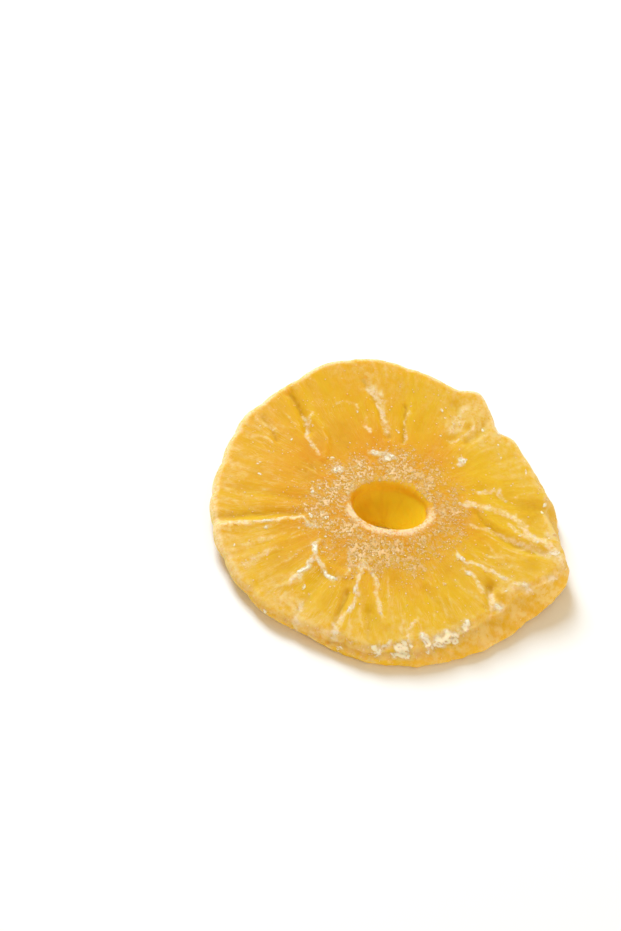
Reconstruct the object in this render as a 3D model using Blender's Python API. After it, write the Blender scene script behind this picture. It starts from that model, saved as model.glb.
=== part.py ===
"""A dried, candied pineapple ring: one warped slice with an oval core hole.

The ring is one closed solid. A section through one side of it is a rounded loop: up the hole's
wall, out over the face, down the cut side and back along the underside. The loop is placed at
many angles round the hole, and each loop is joined to the next. The face is creased where the
fibres shrank, the cut side keeps the lobes of the single fruitlets, and the slice has curled up
at the back while it dried.

Lengths are in metres. Angles are in degrees, counted from +X towards +Y round the hole.
"""

from collections import namedtuple

import bmesh
import bpy
import numpy as np

MM = 0.001

# Driving dimensions.
EDGE_RADIUS = 35.7 * MM  # mean distance from the middle of the hole to the cut side
HOLE_HALF_LENGTH = 8.0 * MM  # the hole has shrunk to an oval, long along X
HOLE_HALF_WIDTH = 5.8 * MM
HOLE_THICKNESS = 8.5 * MM  # thickness of the flesh at the hole

# The hole's wall. The foot is narrower and lies nearer the front, so the far wall leans.
HOLE_FOOT_HALF_LENGTH = 6.8 * MM
HOLE_FOOT_HALF_WIDTH = 3.4 * MM
HOLE_FOOT_FORWARD = 2.9 * MM
NEAR_LIP_RADIUS = 0.7 * MM
FAR_LIP_RADIUS = 1.9 * MM
HOLE_FOOT_RADIUS = 0.4 * MM

# The cut side. The slice was cut off centre and askew, so the right of its foot stands out.
OFF_CENTRE = 2.3 * MM
OFF_CENTRE_TOWARDS = 177.0
SKEW = 4.2 * MM
SKEW_TOWARDS = -4.0
SIDE_BULGE = 0.5 * MM
SHOULDER_RADIUS = 1.7 * MM
FOOT_RADIUS = 1.2 * MM
FOOT_RELIEF = 0.5  # share of the lobes that is left at the foot

# A lobe raises the rim round one angle. A negative rise is a hollow or a notch.
Lobe = namedtuple("Lobe", "at spread rise")
LOBES = (
    Lobe(-8.0, 12.0, 5.5 * MM),
    Lobe(20.0, 6.0, 1.1 * MM),
    Lobe(53.5, 4.0, -1.4 * MM),
    Lobe(68.5, 5.7, 2.3 * MM),
    Lobe(117.0, 24.0, 2.9 * MM),
    Lobe(153.5, 12.6, 1.5 * MM),
    Lobe(255.5, 11.6, -1.3 * MM),
    Lobe(308.5, 25.0, -0.9 * MM),
)
FRUITLETS = 23  # small scallops that the single fruitlets leave round the rim
FRUITLET_RISE = 0.35 * MM

# Thickness. The flesh thins away from the hole at the front left and thickens at the back right.
EDGE_THINNING = 1.4 * MM
UNEVEN_THINNING = 3.0 * MM
THICKEST_TOWARDS = 43.0

# A curl lifts the slice off the table, past a starting distance in one direction.
Curl = namedtuple("Curl", "towards starts rise")
CURLS = (
    Curl(100.0, 11.0 * MM, 3.6 * MM),
    Curl(-8.0, 19.0 * MM, 0.7 * MM),
    Curl(205.0, 25.0 * MM, 0.5 * MM),
)

# A crease is a shrunken groove between two places on the face, each a distance in millimetres
# and an angle. It bows sideways by its bend. A negative depth is a raised vein.
Crease = namedtuple("Crease", "start end bend width depth")
CREASES = (
    Crease((36.5, 138.0), (26.5, 143.0), 0.5 * MM, 1.0 * MM, 0.8 * MM),
    Crease((28.5, 137.0), (19.0, 150.0), 1.5 * MM, 1.0 * MM, -0.28 * MM),
    Crease((36.0, 151.0), (30.0, 155.5), 0.0 * MM, 0.9 * MM, 0.4 * MM),
    Crease((33.0, 111.0), (19.0, 102.0), 0.8 * MM, 1.0 * MM, 0.5 * MM),
    Crease((27.0, 94.0), (18.0, 91.0), 0.0 * MM, 0.8 * MM, 0.4 * MM),
    Crease((31.0, 73.0), (23.5, 65.0), 0.8 * MM, 1.6 * MM, 0.7 * MM),
    Crease((33.5, 60.0), (25.0, 59.0), 0.5 * MM, 1.2 * MM, 0.4 * MM),
    Crease((35.0, 184.0), (19.0, 186.0), 0.0 * MM, 1.4 * MM, 0.3 * MM),
    Crease((36.5, 197.5), (19.0, 198.0), 0.4 * MM, 1.2 * MM, 0.5 * MM),
    Crease((36.5, 201.5), (18.5, 204.0), 0.6 * MM, 1.3 * MM, -0.35 * MM),
    Crease((34.5, 217.0), (25.0, 214.0), 0.0 * MM, 1.2 * MM, -0.21 * MM),
    Crease((18.5, 224.0), (30.0, 235.0), 1.2 * MM, 1.2 * MM, -0.35 * MM),
    Crease((20.5, 231.0), (20.0, 253.0), -1.0 * MM, 1.2 * MM, -0.35 * MM),
    Crease((23.0, 243.0), (35.0, 247.0), 0.0 * MM, 1.6 * MM, 0.5 * MM),
    Crease((16.0, 261.0), (29.5, 279.0), -0.8 * MM, 1.2 * MM, -0.35 * MM),
    Crease((16.0, 261.0), (34.5, 265.0), -0.5 * MM, 1.2 * MM, -0.28 * MM),
    Crease((24.0, 259.0), (35.0, 260.5), 0.0 * MM, 0.8 * MM, 0.6 * MM),
    Crease((27.0, 271.5), (34.5, 273.5), 0.0 * MM, 1.3 * MM, 0.5 * MM),
    Crease((29.0, 291.0), (34.0, 289.0), 0.0 * MM, 1.0 * MM, -0.28 * MM),
    Crease((22.0, 300.0), (33.0, 306.0), 0.6 * MM, 1.4 * MM, 0.4 * MM),
    Crease((19.5, 329.0), (30.0, 322.0), -0.6 * MM, 1.2 * MM, -0.28 * MM),
    Crease((28.5, 327.5), (31.5, 321.0), 0.0 * MM, 1.1 * MM, 0.9 * MM),
    Crease((19.5, 331.0), (31.0, 334.5), -0.8 * MM, 1.2 * MM, -0.28 * MM),
    Crease((17.0, 17.0), (35.5, -2.0), -2.2 * MM, 1.3 * MM, -0.42 * MM),
    Crease((19.0, 9.0), (34.0, -7.0), -1.8 * MM, 1.1 * MM, 0.6 * MM),
    Crease((21.0, 27.0), (33.5, 14.0), -1.2 * MM, 1.5 * MM, 0.4 * MM),
)

# Fine enough to follow the creases, coarse enough to stay light.
SECTIONS = 148
HOLE_WALL_STEPS = 3
ROUND_STEPS = 3
FACE_STEPS = 13
SIDE_STEPS = 3
BASE_STEPS = 6

NODE = "pineapple_ring"
FLESH_COLOUR = (0.83, 0.46, 0.07, 1.0)
FLESH_ROUGHNESS = 0.42


def turned(angle, towards):
    """Cosine of the turn between an angle in radians and a direction in degrees."""
    return np.cos(angle - np.radians(towards))


def place(distance, angle):
    """Plan position at a distance and at an angle in radians from the middle of the hole."""
    return np.array([distance * np.cos(angle), distance * np.sin(angle)])


def rim_distance(angle, relief=1.0):
    """Distance from the hole to the cut side, with a share of its lobes and scallops."""
    distance = EDGE_RADIUS + OFF_CENTRE * turned(angle, OFF_CENTRE_TOWARDS)
    for lobe in LOBES:
        away = (np.degrees(angle) - lobe.at + 180.0) % 360.0 - 180.0
        distance = distance + relief * lobe.rise * np.exp(-((away / lobe.spread) ** 2))
    scallop = np.abs(np.sin(0.5 * FRUITLETS * angle + 1.3 * np.sin(2.0 * angle)))
    return distance + relief * FRUITLET_RISE * (scallop - 0.6)


def rim(angle):
    """Plan position of the cut side's upper rim."""
    return place(rim_distance(angle), angle)


def side_foot(angle):
    """Plan position of the cut side's foot, moved out or in by the skewed cut."""
    return place(rim_distance(angle, FOOT_RELIEF) + SKEW * turned(angle, SKEW_TOWARDS), angle)


def lip(angle):
    """Plan position of the hole's upper rim."""
    return np.array([HOLE_HALF_LENGTH * np.cos(angle), HOLE_HALF_WIDTH * np.sin(angle)])


def hole_foot(angle):
    """Plan position of the hole's lower rim."""
    across = HOLE_FOOT_HALF_WIDTH * np.sin(angle) - HOLE_FOOT_FORWARD
    return np.array([HOLE_FOOT_HALF_LENGTH * np.cos(angle), across])


def lip_radius(angle):
    """Rounding of the hole's upper rim, small at the front and large at the back."""
    back = 0.5 + 0.5 * np.sin(angle)
    return NEAR_LIP_RADIUS + (FAR_LIP_RADIUS - NEAR_LIP_RADIUS) * back


def base_height(plan):
    """Height of the underside above the table: nothing, but for the curled parts."""
    height = 0.0
    for curl in CURLS:
        reach = place(1.0, np.radians(curl.towards)) @ plan
        share = (reach - curl.starts) / (EDGE_RADIUS - curl.starts)
        height = height + curl.rise * np.clip(share, 0.0, None) ** 2
    return height


def crease_depth(plan):
    """Depth of all the creases at a plan position."""
    depth = 0.0
    for crease in CREASES:
        start, end = (place(far * MM, np.radians(angle)) for far, angle in (crease.start, crease.end))
        run = end - start
        offset = plan - start[:, None]
        share = np.clip(run @ offset / (run @ run), 0.0, 1.0)
        sideways = np.array([-run[1], run[0]]) / np.hypot(*run)
        bow = 4.0 * crease.bend * share * (1.0 - share)
        away = offset - run[:, None] * share - sideways[:, None] * bow
        depth = depth + crease.depth * np.exp(-(away**2).sum(0) / crease.width**2)
    return depth


def face_height(plan):
    """Height of the upper face above the table."""
    distance, angle = np.hypot(*plan), np.arctan2(plan[1], plan[0])
    thinning = EDGE_THINNING - UNEVEN_THINNING * turned(angle, THICKEST_TOWARDS)
    thickness = HOLE_THICKNESS - thinning * distance / EDGE_RADIUS
    return base_height(plan) + thickness - crease_depth(plan)


def rounding(corner, inner, radius, turns, height_at, side):
    """Rows of points round a corner of the section.

    corner is the corner's plan position and inner is the plan position that its face runs to.
    A turn of 0 is where the face begins, and one of 90 degrees is where the wall does. side is
    1 for an upper corner and -1 for a lower one.
    """
    inwards = (inner - corner) / np.hypot(*(inner - corner))
    rows = []
    for turn in np.radians(turns):
        plan = corner + inwards * radius * (1.0 - np.sin(turn))
        rows.append(np.array([*plan, height_at(plan) - side * radius * (1.0 - np.cos(turn))]))
    return rows


def between(start, end, steps):
    """Rows of points on the straight way from one row to another, without the two ends."""
    return [start + (end - start) * share for share in np.linspace(0.0, 1.0, steps + 2)[1:-1]]


def section_rows(angle):
    """The rows of points round a section, for all angles at once, from the foot of the hole."""
    turns = np.linspace(0.0, 90.0, ROUND_STEPS + 1)
    upper = rounding(lip(angle), rim(angle), lip_radius(angle), turns[::-1], face_height, 1)
    shoulder = rounding(rim(angle), lip(angle), SHOULDER_RADIUS, turns, face_height, 1)
    foot = rounding(side_foot(angle), hole_foot(angle), FOOT_RADIUS, turns[::-1], base_height, -1)
    hole_base = rounding(
        hole_foot(angle), side_foot(angle), HOLE_FOOT_RADIUS, (0.0, 90.0), base_height, -1
    )

    wall = between(hole_base[1], upper[0], HOLE_WALL_STEPS)
    face = []
    for x, y, _ in between(upper[-1], shoulder[0], FACE_STEPS):
        face.append(np.array([x, y, face_height(np.array([x, y]))]))
    side = []
    for number, row in enumerate(between(shoulder[-1], foot[0], SIDE_STEPS), 1):
        bulge = SIDE_BULGE * np.sin(np.pi * number / (SIDE_STEPS + 1))
        side.append(row + np.array([*place(bulge, angle), 0.0 * angle]))
    base = []
    for x, y, _ in between(foot[-1], hole_base[0], BASE_STEPS):
        base.append(np.array([x, y, base_height(np.array([x, y]))]))
    return [hole_base[1], *wall, *upper, *face, *shoulder, *side, *foot, *base, hole_base[0]]


def ring_grid():
    """Points by section, row and coordinate, with the middle of their box over the origin."""
    angle = np.linspace(0.0, 2.0 * np.pi, SECTIONS, endpoint=False)
    grid = np.array(section_rows(angle)).transpose(2, 0, 1)
    low, high = grid.min((0, 1)), grid.max((0, 1))
    return grid - np.array([*(low + high)[:2] / 2.0, low[2]])


def ring_mesh(grid):
    """A closed mesh: each section is joined to the next, and the last one to the first."""
    sections, rows = grid.shape[:2]
    shape = bmesh.new()
    verts = [[shape.verts.new(point) for point in section] for section in grid]
    for i in range(sections):
        here, after = verts[i], verts[(i + 1) % sections]
        for j in range(rows):
            k = (j + 1) % rows
            shape.faces.new((here[j], here[k], after[k], after[j]))
    bmesh.ops.recalc_face_normals(shape, faces=shape.faces)
    mesh = bpy.data.meshes.new(NODE)
    shape.to_mesh(mesh)
    shape.free()
    mesh.shade_smooth()
    return mesh


def flesh_material():
    """Candied pineapple flesh: golden, with a satin shine."""
    material = bpy.data.materials.new("candied_flesh")
    material.use_nodes = True
    surface = material.node_tree.nodes["Principled BSDF"]
    surface.inputs["Base Color"].default_value = FLESH_COLOUR
    surface.inputs["Roughness"].default_value = FLESH_ROUGHNESS
    surface.inputs["Metallic"].default_value = 0.0
    return material


def main():
    """Empty the scene and make the ring."""
    for thing in list(bpy.data.objects):
        bpy.data.objects.remove(thing)
    mesh = ring_mesh(ring_grid())
    mesh.materials.append(flesh_material())
    bpy.context.scene.collection.objects.link(bpy.data.objects.new(NODE, mesh))


main()
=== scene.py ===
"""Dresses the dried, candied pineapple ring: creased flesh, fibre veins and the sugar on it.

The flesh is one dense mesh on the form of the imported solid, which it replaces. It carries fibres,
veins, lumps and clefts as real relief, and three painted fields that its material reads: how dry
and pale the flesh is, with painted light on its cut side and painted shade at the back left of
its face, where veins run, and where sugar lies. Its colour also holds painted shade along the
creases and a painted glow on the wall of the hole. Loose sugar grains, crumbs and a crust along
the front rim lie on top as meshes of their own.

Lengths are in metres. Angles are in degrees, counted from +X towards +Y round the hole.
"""

import logging
from dataclasses import dataclass, field
from enum import Enum
from typing import Any, Iterable, NamedTuple, Sequence

import bpy
import numpy as np
from mathutils import Matrix, Vector


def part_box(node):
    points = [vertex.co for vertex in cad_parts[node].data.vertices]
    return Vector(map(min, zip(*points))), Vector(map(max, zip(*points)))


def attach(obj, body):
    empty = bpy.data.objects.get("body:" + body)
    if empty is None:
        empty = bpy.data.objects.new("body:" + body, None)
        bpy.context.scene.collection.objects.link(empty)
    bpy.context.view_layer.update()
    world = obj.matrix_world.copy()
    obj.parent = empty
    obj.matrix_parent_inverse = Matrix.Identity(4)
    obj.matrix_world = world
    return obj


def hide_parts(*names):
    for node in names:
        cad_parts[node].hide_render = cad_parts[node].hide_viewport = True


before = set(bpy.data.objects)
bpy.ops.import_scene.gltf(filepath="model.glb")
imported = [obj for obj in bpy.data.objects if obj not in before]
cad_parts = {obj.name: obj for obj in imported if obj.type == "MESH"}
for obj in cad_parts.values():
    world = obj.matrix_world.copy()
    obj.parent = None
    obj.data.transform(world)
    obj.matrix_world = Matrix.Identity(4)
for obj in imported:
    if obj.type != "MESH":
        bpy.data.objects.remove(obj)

MM = 0.001
NODE = "pineapple_ring"
BODY = "root"

log = logging.getLogger("pineapple_ring")

Array = np.ndarray


class Zone(Enum):
    """Part of the section that a row of the flesh belongs to."""

    HOLE = "hole"
    LIP = "lip"
    FACE = "face"
    SHOULDER = "shoulder"
    SIDE = "side"
    FOOT = "foot"
    BASE = "base"


class Slot(Enum):
    """Material slots of the record, for the flesh and the sugar."""

    FLESH = "flesh"
    SUGAR = "sugar"


class Lobe(NamedTuple):
    """A rise of the rim round one angle."""

    at: float
    spread: float
    rise: float


class Curl(NamedTuple):
    """A lift of the slice past a starting distance in one direction."""

    towards: float
    starts: float
    rise: float


class Crease(NamedTuple):
    """A groove between two places on the face, or a raised vein where its depth is negative."""

    start: tuple[float, float]
    end: tuple[float, float]
    bend: float
    width: float
    depth: float


CREASES: tuple[Crease, ...] = (
    Crease((36.5, 138.0), (26.5, 143.0), 0.5 * MM, 1.0 * MM, 0.8 * MM),
    Crease((28.5, 137.0), (19.0, 150.0), 1.5 * MM, 1.0 * MM, -0.28 * MM),
    Crease((36.0, 151.0), (30.0, 155.5), 0.0 * MM, 0.9 * MM, 0.4 * MM),
    Crease((33.0, 111.0), (19.0, 102.0), 0.8 * MM, 1.0 * MM, 0.5 * MM),
    Crease((27.0, 94.0), (18.0, 91.0), 0.0 * MM, 0.8 * MM, 0.4 * MM),
    Crease((31.0, 73.0), (23.5, 65.0), 0.8 * MM, 1.6 * MM, 0.7 * MM),
    Crease((33.5, 60.0), (25.0, 59.0), 0.5 * MM, 1.2 * MM, 0.4 * MM),
    Crease((35.0, 184.0), (19.0, 186.0), 0.0 * MM, 1.4 * MM, 0.3 * MM),
    Crease((36.5, 197.5), (19.0, 198.0), 0.4 * MM, 1.2 * MM, 0.5 * MM),
    Crease((36.5, 201.5), (18.5, 204.0), 0.6 * MM, 1.3 * MM, -0.35 * MM),
    Crease((34.5, 217.0), (25.0, 214.0), 0.0 * MM, 1.2 * MM, -0.21 * MM),
    Crease((18.5, 224.0), (30.0, 235.0), 1.2 * MM, 1.2 * MM, -0.35 * MM),
    Crease((20.5, 231.0), (20.0, 253.0), -1.0 * MM, 1.2 * MM, -0.35 * MM),
    Crease((23.0, 243.0), (35.0, 247.0), 0.0 * MM, 1.6 * MM, 0.5 * MM),
    Crease((16.0, 261.0), (29.5, 279.0), -0.8 * MM, 1.2 * MM, -0.35 * MM),
    Crease((16.0, 261.0), (34.5, 265.0), -0.5 * MM, 1.2 * MM, -0.28 * MM),
    Crease((24.0, 259.0), (35.0, 260.5), 0.0 * MM, 0.8 * MM, 0.6 * MM),
    Crease((27.0, 271.5), (34.5, 273.5), 0.0 * MM, 1.3 * MM, 0.5 * MM),
    Crease((29.0, 291.0), (34.0, 289.0), 0.0 * MM, 1.0 * MM, -0.28 * MM),
    Crease((22.0, 300.0), (33.0, 306.0), 0.6 * MM, 1.4 * MM, 0.4 * MM),
    Crease((19.5, 329.0), (30.0, 322.0), -0.6 * MM, 1.2 * MM, -0.28 * MM),
    Crease((28.5, 327.5), (31.5, 321.0), 0.0 * MM, 1.1 * MM, 0.9 * MM),
    Crease((19.5, 331.0), (31.0, 334.5), -0.8 * MM, 1.2 * MM, -0.28 * MM),
    Crease((17.0, 17.0), (35.5, -2.0), -2.2 * MM, 1.3 * MM, -0.42 * MM),
    Crease((19.0, 9.0), (34.0, -7.0), -1.8 * MM, 1.1 * MM, 0.6 * MM),
    Crease((21.0, 27.0), (33.5, 14.0), -1.2 * MM, 1.5 * MM, 0.4 * MM),
)


class Vein(NamedTuple):
    """A pale line on the face where sugar has crusted along a fibre, a fold or a torn edge.

    It runs through places that are each a distance in millimetres and an angle. Its strength is
    how pale it is, and its crust is how much white sugar stands on it.
    """

    places: tuple[tuple[float, float], ...]
    width: float
    strength: float
    crust: float


VEINS: tuple[Vein, ...] = (
    Vein(((30.0, 140), (27.5, 142), (25.5, 146), (23.0, 148), (20.5, 150)), 0.42 * MM, 0.75, 0.35),
    Vein(((28.0, 142), (29.5, 136)), 0.35 * MM, 0.7, 0.3),
    Vein(((36.5, 153), (32.5, 153)), 0.5 * MM, 0.6, 0.2),
    Vein(((34.5, 160), (32.5, 157)), 0.4 * MM, 0.4, 0.1),
    Vein(((29.5, 126), (29.0, 121), (27.0, 116)), 0.4 * MM, 0.45, 0.15),
    Vein(((31.5, 109), (28.5, 106), (25.5, 104), (22.0, 103), (20.0, 104)), 0.8 * MM, 0.8, 0.35),
    Vein(((24.0, 112), (22.0, 114), (20.5, 113)), 0.5 * MM, 0.6, 0.3),
    Vein(((26.0, 92), (23.5, 93), (21.5, 92), (17.5, 89)), 0.35 * MM, 0.6, 0.2),
    Vein(((15.0, 115), (14.0, 106), (13.0, 97)), 0.8 * MM, 0.8, 0.8),
    Vein(((17.5, 148), (15.0, 151), (13.5, 148)), 0.6 * MM, 0.5, 0.4),
    Vein(((25.0, 69), (28.5, 70), (32.0, 70)), 0.75 * MM, 0.7, 0.2),
    Vein(((25.0, 69), (26.0, 67), (28.5, 67)), 0.5 * MM, 0.6, 0.2),
    Vein(((23.0, 65), (25.5, 62), (28.0, 61), (29.5, 62)), 0.4 * MM, 0.7, 0.3),
    Vein(((20.5, 54), (20.0, 50), (19.0, 50)), 0.45 * MM, 0.6, 0.5),
    Vein(((20.0, 26), (23.5, 25), (25.5, 19)), 0.5 * MM, 0.75, 0.3),
    Vein(((16.0, 16), (21.5, 13), (26.5, 9), (29.5, 0), (33.5, -3), (39.0, -8)), 0.7 * MM, 0.85, 0.25),
    Vein(((22.5, 18), (25.0, 12), (27.5, 8)), 0.35 * MM, 0.4, 0.1),
    Vein(((25.5, 4), (29.0, -2), (31.5, -3)), 0.4 * MM, 0.6, 0.2),
    Vein(((18.0, -2), (24.0, -3), (28.5, -5), (33.0, -6), (38.0, -9)), 0.5 * MM, 0.6, 0.1),
    Vein(((34.0, 1), (36.0, 3)), 0.6 * MM, 0.6, 0.2),
    Vein(((18.0, -27), (20.0, -31), (23.5, -26), (26.5, -25), (30.5, -24)), 0.4 * MM, 0.8, 0.5),
    Vein(((22.0, -34), (25.0, -34), (28.0, -37)), 0.45 * MM, 0.7, 0.5),
    Vein(((29.5, -35), (31.5, -37), (33.0, -36), (34.0, -34)), 0.55 * MM, 0.9, 0.5),
    Vein(((31.0, -30), (32.0, -25), (33.5, -23), (36.5, -21), (38.5, -12)), 0.6 * MM, 0.7, 0.3),
    Vein(((29.0, -69), (31.5, -72), (33.5, -72)), 0.35 * MM, 0.6, 0.4),
    Vein(((32.0, -67), (34.5, -65), (33.0, -60), (34.0, -56), (32.5, -50)), 0.6 * MM, 0.9, 1.0),
    Vein(((36.5, -86), (34.5, -82), (33.5, -78)), 0.4 * MM, 0.6, 0.6),
    Vein(((35.5, -96), (36.5, -92)), 0.45 * MM, 0.7, 0.3),
    Vein(((16.5, -101), (19.0, -99), (22.5, -98), (24.0, -95), (28.0, -97), (31.5, -100), (34.5, -98)),
         0.45 * MM, 0.8, 0.5),
    Vein(((16.5, -101), (18.0, -91), (20.0, -87), (23.0, -86), (28.5, -82)), 0.45 * MM, 0.7, 0.3),
    Vein(((15.0, -114), (17.0, -108), (20.0, -107), (21.5, -109)), 0.5 * MM, 0.6, 0.4),
    Vein(((17.5, -137), (19.0, -135), (20.5, -128), (21.5, -119), (22.5, -112)), 0.5 * MM, 0.95, 0.8),
    Vein(((20.5, -128), (23.0, -126), (26.0, -125), (29.0, -125)), 0.5 * MM, 0.95, 0.8),
    Vein(((34.0, -113), (32.0, -118), (30.5, -116), (32.0, -114), (34.0, -113), (36.5, -109)),
         0.4 * MM, 0.7, 0.25),
    Vein(((36.0, -107), (34.5, -104), (33.5, -98)), 0.4 * MM, 0.5, 0.1),
    Vein(((35.0, -141), (30.5, -142), (26.5, -144)), 0.5 * MM, 0.6, 0.2),
    Vein(((32.5, -149), (28.5, -149), (23.5, -150)), 0.5 * MM, 0.5, 0.15),
    Vein(((35.5, -159), (32.0, -159), (27.5, -158), (25.0, -158), (19.0, -159)), 0.4 * MM, 0.85, 0.35),
    Vein(((19.0, -161), (18.0, -152), (16.5, -149)), 0.45 * MM, 0.7, 0.6),
)


class Patch(NamedTuple):
    """A white patch of sugar, oval and ragged, turned by a heading from the way to the rim."""

    distance: float
    angle: float
    length: float
    breadth: float
    heading: float
    strength: float


PATCHES: tuple[Patch, ...] = (
    Patch(35.5, -75, 4.6, 3.6, 60, 1.0),
    Patch(33.5, -66, 3.4, 1.3, 10, 0.9),
    Patch(34.0, -59, 4.4, 1.5, 80, 0.9),
    Patch(32.5, -50, 1.8, 1.0, 90, 0.7),
    Patch(37.0, -123, 1.4, 0.9, 90, 0.9),
    Patch(27.5, -120, 1.8, 0.7, 0, 0.6),
    Patch(34.5, -150, 1.5, 0.8, 30, 0.7),
    Patch(13.0, 103, 1.2, 3.0, 10, 0.65),
    Patch(14.5, 150, 1.3, 2.6, -20, 0.65),
    Patch(20.5, 51, 1.9, 1.2, 20, 0.75),
    Patch(17.0, 180, 1.1, 0.9, 0, 1.0),
    Patch(17.0, -159, 0.9, 1.6, 0, 0.8),
    Patch(26.5, -158, 2.4, 0.6, 0, 0.6),
    Patch(33.5, 15.5, 1.4, 0.7, 60, 0.7),
    Patch(31.5, 32, 0.8, 1.5, 0, 0.6),
    Patch(29.0, -5, 2.0, 0.8, 20, 0.4),
    Patch(36.0, -6, 3.0, 1.0, 10, 0.6),
    Patch(20.0, -30, 1.7, 1.0, -30, 0.8),
    Patch(23.5, -34, 1.6, 0.9, 0, 0.7),
    Patch(33.0, -36, 2.6, 0.9, 40, 0.8),
    Patch(22.0, -113, 1.0, 2.6, 0, 0.9),
    Patch(24.5, -126, 3.6, 0.8, -5, 0.9),
    Patch(19.5, -132, 2.2, 0.8, 60, 0.9),
    Patch(22.5, -98, 2.2, 0.7, 0, 0.6),
    Patch(27.0, -97, 2.6, 0.8, -20, 0.75),
    Patch(35.5, -95, 1.8, 0.8, 90, 0.6),
    Patch(35.0, -84, 2.6, 0.7, 70, 0.6),
)


class Pool(NamedTuple):
    """A moist spot where the flesh stays translucent and deep in colour."""

    distance: float
    angle: float
    radius: float
    strength: float


POOLS: tuple[Pool, ...] = (
    Pool(19.5, 163, 3.2 * MM, 0.9),
    Pool(22.0, 132, 5.0 * MM, 0.55),
    Pool(24.0, 85, 4.0 * MM, 0.35),
    Pool(28.2, 64.5, 1.1 * MM, 0.9),
    Pool(30.5, 13, 3.6 * MM, 0.8),
    Pool(25.5, 22, 2.5 * MM, 0.4),
    Pool(32.5, -14, 2.4 * MM, 0.6),
    Pool(31.8, -33, 1.6 * MM, 1.0),
    Pool(27.0, -31, 2.0 * MM, 0.7),
    Pool(19.0, -42, 2.2 * MM, 0.5),
    Pool(18.0, -78, 2.6 * MM, 0.5),
    Pool(32.5, -97, 0.9 * MM, 0.8),
    Pool(27.5, -107, 2.5 * MM, 0.5),
    Pool(19.0, -116, 2.2 * MM, 0.6),
    Pool(27.0, -137, 3.5 * MM, 0.5),
    Pool(24.5, -154, 2.5 * MM, 0.4),
    Pool(30.0, 175, 2.0 * MM, 0.4),
)


def place(distance: Any, angle: Any) -> Array:
    """Plan position at a distance and at an angle in radians from the middle of the hole."""
    return np.array([distance * np.cos(angle), distance * np.sin(angle)])


def turned(angle: Array, towards: float) -> Array:
    """Cosine of the turn between an angle in radians and a direction in degrees."""
    return np.cos(angle - np.radians(towards))


def away_from(angle: Array, centre: float) -> Array:
    """Signed turn in degrees from a centre in degrees, between -180 and 180."""
    return (np.degrees(angle) - centre + 180.0) % 360.0 - 180.0


def ramp(value: Array, low: float, high: float) -> Array:
    """Smooth step from 0 at low to 1 at high."""
    share = np.clip((value - low) / (high - low), 0.0, 1.0)
    return share * share * (3.0 - 2.0 * share)


def above_table(points: Array) -> Array:
    """Points with none of them below the table, which presses what lies on it flat."""
    return np.concatenate([points[..., :2], np.clip(points[..., 2:], 0.0, None)], -1)


def along_path(
    plan: Array, start: tuple[float, float], end: tuple[float, float], bend: float = 0.0
) -> tuple[Array, Array]:
    """Measure plan positions against a path that is straight or bowed.

    Args:
        plan: Plan positions, with x and y first.
        start: Where the path starts: a distance in millimetres and an angle in degrees.
        end: Where it ends.
        bend: How far it bows sideways in its middle.

    Returns:
        The distance from the path, and the share of its length that lies behind.
    """
    first, last = (place(far * MM, np.radians(angle)) for far, angle in (start, end))
    run = last - first
    offset = plan - first.reshape(2, *[1] * (plan.ndim - 1))
    share = np.clip(np.tensordot(run, offset, 1) / (run @ run), 0.0, 1.0)
    sideways = np.array([-run[1], run[0]]) / np.hypot(*run)
    bow = 4.0 * bend * share * (1.0 - share)
    away = offset - np.multiply.outer(run, share) - np.multiply.outer(sideways, bow)
    return np.hypot(away[0], away[1]), share


class Lattice:
    """A smooth random field between -1 and 1 that repeats across a lattice of random values."""

    def __init__(self, seed: int, across: int = 64, along: int = 64) -> None:
        """Draw the lattice's values.

        Args:
            seed: Seed of the random values.
            across: Number of cells before the field repeats in its first direction.
            along: The same for the second direction.
        """
        self.values = np.random.default_rng(seed).uniform(-1.0, 1.0, (across, along))

    def at(self, across: Array, along: Array) -> Array:
        """Read the field.

        Args:
            across: First coordinates, in cells.
            along: Second coordinates, in cells.

        Returns:
            The field's value at each pair.
        """
        cell_u, cell_v = np.floor(across).astype(int), np.floor(along).astype(int)
        u, v = ramp(across - cell_u, 0.0, 1.0), ramp(along - cell_v, 0.0, 1.0)
        wide, long = self.values.shape
        corner = [[self.values[(cell_u + i) % wide, (cell_v + j) % long] for j in (0, 1)] for i in (0, 1)]
        near = corner[0][0] * (1.0 - v) + corner[0][1] * v
        far = corner[1][0] * (1.0 - v) + corner[1][1] * v
        return near * (1.0 - u) + far * u


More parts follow.
